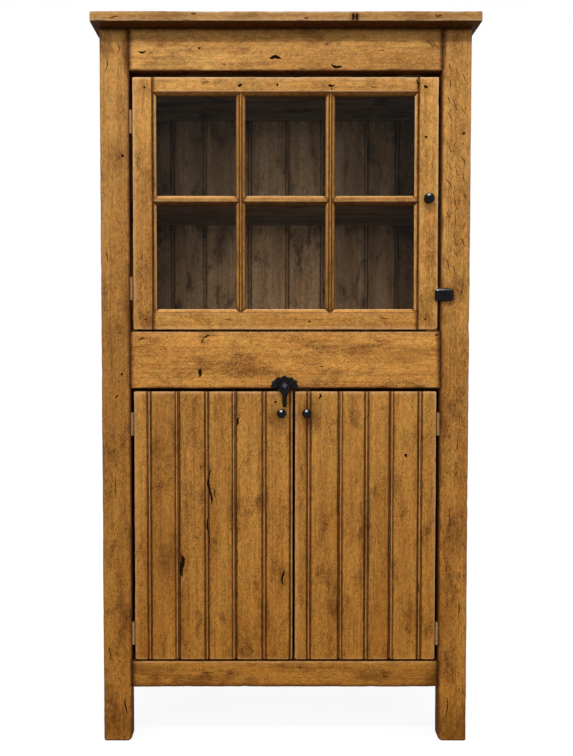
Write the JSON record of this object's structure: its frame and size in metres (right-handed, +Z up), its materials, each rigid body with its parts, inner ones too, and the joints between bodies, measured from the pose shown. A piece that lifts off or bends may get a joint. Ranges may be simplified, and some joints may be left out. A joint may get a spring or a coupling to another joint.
{
  "type": "jelly cupboard",
  "caption": "Tall free-standing pine cupboard with a glazed door over a pair of beaded plank doors, on feet cut from its posts and sides.",
  "frame": {"origin": "on the floor, under the middle of the top board", "axes": "+Z up, the doors face -Y, +X to the right of someone in front"},
  "size_m": [1.008, 0.46, 1.92],
  "materials": {
    "waxed_pine": "old ochre paint and wax on pine, rubbed and worn on the edges",
    "dark_pine": "dark stained and unpolished inside the case",
    "black_iron": "black, satin from handling",
    "old_brass": "dull and tarnished",
    "glass": "clear old window glass",
    "putty": "hardened linseed putty"
  },
  "bodies": {
    "case": {"back_board_1": "dark_pine", "back_board_2": "dark_pine", "back_board_3": "dark_pine", "back_board_4": "dark_pine", "back_board_5": "dark_pine", "back_board_6": "dark_pine", "back_board_7": "dark_pine", "back_board_8": "dark_pine", "bottom_rail": "waxed_pine", "ceiling_board": "dark_pine", "ceiling_cleats": "dark_pine", "door_stops": "dark_pine", "floor_board": "dark_pine", "front_post_left": "waxed_pine", "front_post_right": "waxed_pine", "hinge_frame_leaves": "old_brass", "hinge_pins": "old_brass", "latch_plate": "black_iron", "latch_screw": "black_iron", "lower_shelf": "dark_pine", "lower_shelf_cleats": "dark_pine", "middle_rail": "waxed_pine", "middle_shelf": "dark_pine", "side_left_back_board": "waxed_pine", "side_left_front_board": "waxed_pine", "side_right_back_board": "waxed_pine", "side_right_front_board": "waxed_pine", "top_board": "waxed_pine", "top_rail": "waxed_pine", "turn_button_screw": "black_iron", "upper_shelf": "dark_pine", "upper_shelf_cleats": "dark_pine"},
    "glazed_door": {"glazed_door_hinge_stile": "waxed_pine", "glazed_door_lock_stile": "waxed_pine", "glazed_door_bottom_rail": "waxed_pine", "glazed_door_top_rail": "waxed_pine", "upright_muntin_1": "waxed_pine", "upright_muntin_2": "waxed_pine", "cross_muntin_1": "waxed_pine", "cross_muntin_2": "waxed_pine", "cross_muntin_3": "waxed_pine", "glass_panes": "glass", "glazing_putty": "putty", "glazed_door_pegs": "waxed_pine", "glazed_door_knob": "black_iron", "glazed_door_hinge_leaves": "old_brass"},
    "left_door": {"left_door_battens": "waxed_pine", "left_door_hinge_leaves": "old_brass", "left_door_knob": "black_iron", "left_door_plank_1": "waxed_pine", "left_door_plank_2": "waxed_pine", "left_door_plank_3": "waxed_pine"},
    "right_door": {"right_door_battens": "waxed_pine", "right_door_hinge_leaves": "old_brass", "right_door_knob": "black_iron", "right_door_plank_1": "waxed_pine", "right_door_plank_2": "waxed_pine", "right_door_plank_3": "waxed_pine"},
    "turn_button": {"turn_button": "black_iron"},
    "latch": {"latch_pear": "black_iron"}
  },
  "joints": [
    {"name": "glazed_door_hinge", "type": "hinge", "parent": "case", "child": "glazed_door", "pos_m": [-0.40625, -0.189, 1.434], "axis": [0, 0, -1], "range_deg": [0, 170]},
    {"name": "left_door_hinge", "type": "hinge", "parent": "case", "child": "left_door", "pos_m": [-0.40625, -0.189, 0.5755], "axis": [0, 0, -1], "range_deg": [0, 170]},
    {"name": "right_door_hinge", "type": "hinge", "parent": "case", "child": "right_door", "pos_m": [0.40625, -0.189, 0.5755], "axis": [0, 0, 1], "range_deg": [0, 170]},
    {"name": "turn_button_pivot", "type": "hinge", "parent": "case", "child": "turn_button", "pos_m": [0.425, -0.1964, 1.1995], "axis": [0, -1, 0], "range_deg": [-90, 90]},
    {"name": "latch_pivot", "type": "hinge", "parent": "case", "child": "latch", "pos_m": [-0.002, -0.2024, 0.961], "axis": [0, -1, 0], "range_deg": [-170, 170]}
  ]
}
